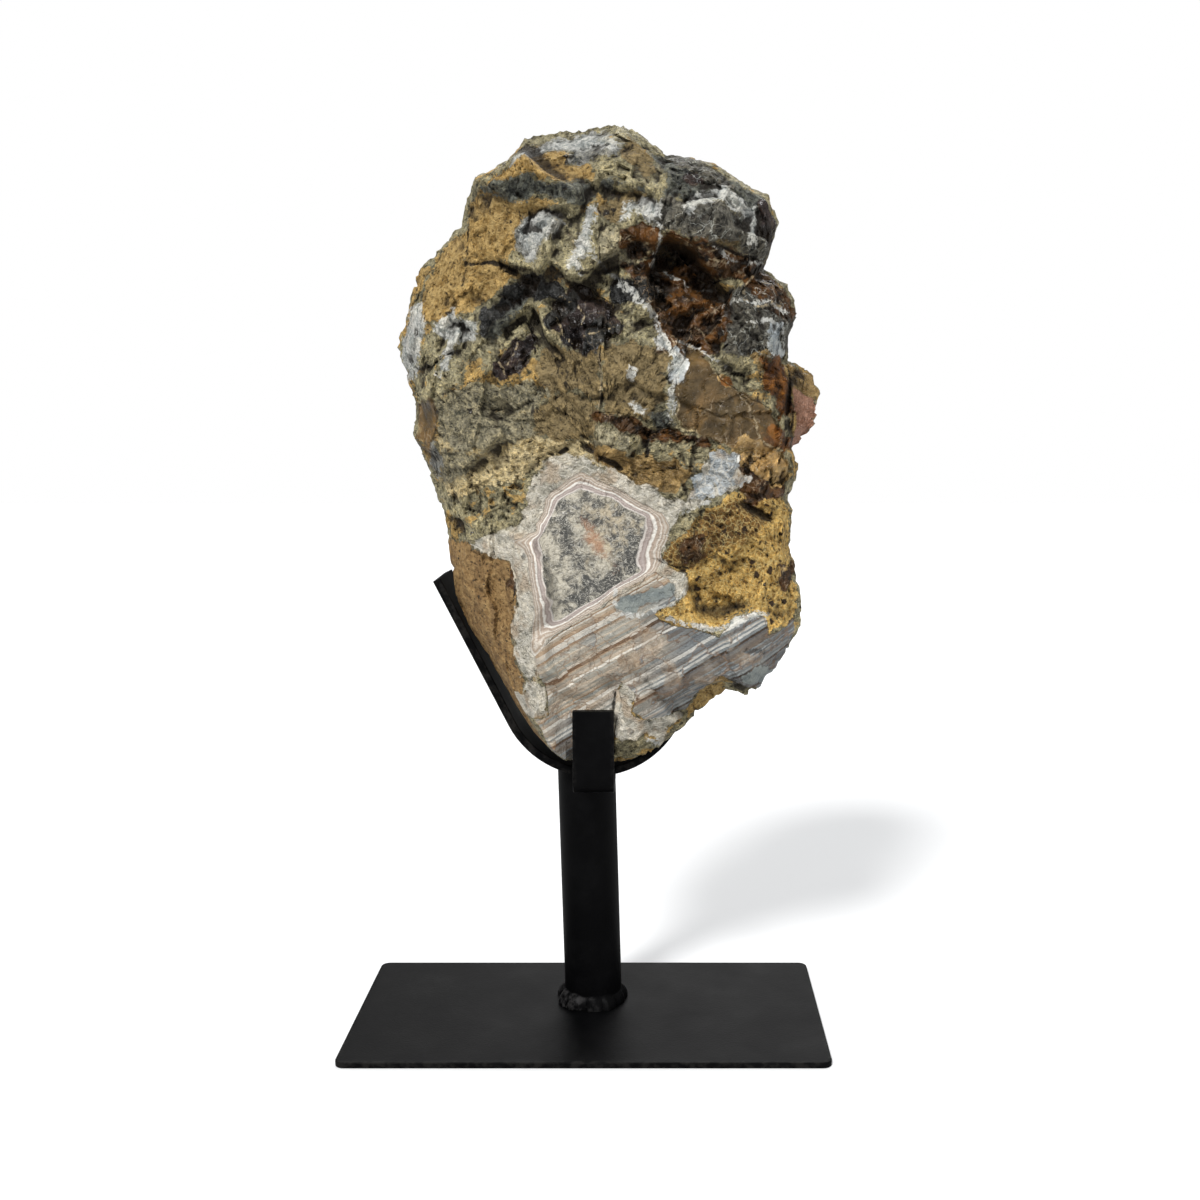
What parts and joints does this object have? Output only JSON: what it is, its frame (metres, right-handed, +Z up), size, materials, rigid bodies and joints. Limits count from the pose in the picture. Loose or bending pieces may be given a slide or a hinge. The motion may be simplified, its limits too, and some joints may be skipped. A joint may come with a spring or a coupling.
{
  "type": "agate specimen on a stand",
  "caption": "Large broken agate nodule with a banded face, held upright by a U-shaped strap and a front clip on a round post and flat base plate",
  "frame": {"origin": "middle of the underside of the base plate, on the surface the stand rests on", "axes": "+Z up, -Y towards the viewer: the clip and the banded face look along -Y, +X to the right"},
  "size_m": [0.24, 0.12, 0.4505],
  "materials": {
    "agate_rock": "rough broken rock with satin banded agate, back ground flat and polished",
    "painted_steel": "matt black paint"
  },
  "bodies": {
    "root": {"agate": "agate_rock", "base_plate": "painted_steel", "post": "painted_steel", "cradle_strap": "painted_steel", "front_clip": "painted_steel"}
  },
  "joints": []
}
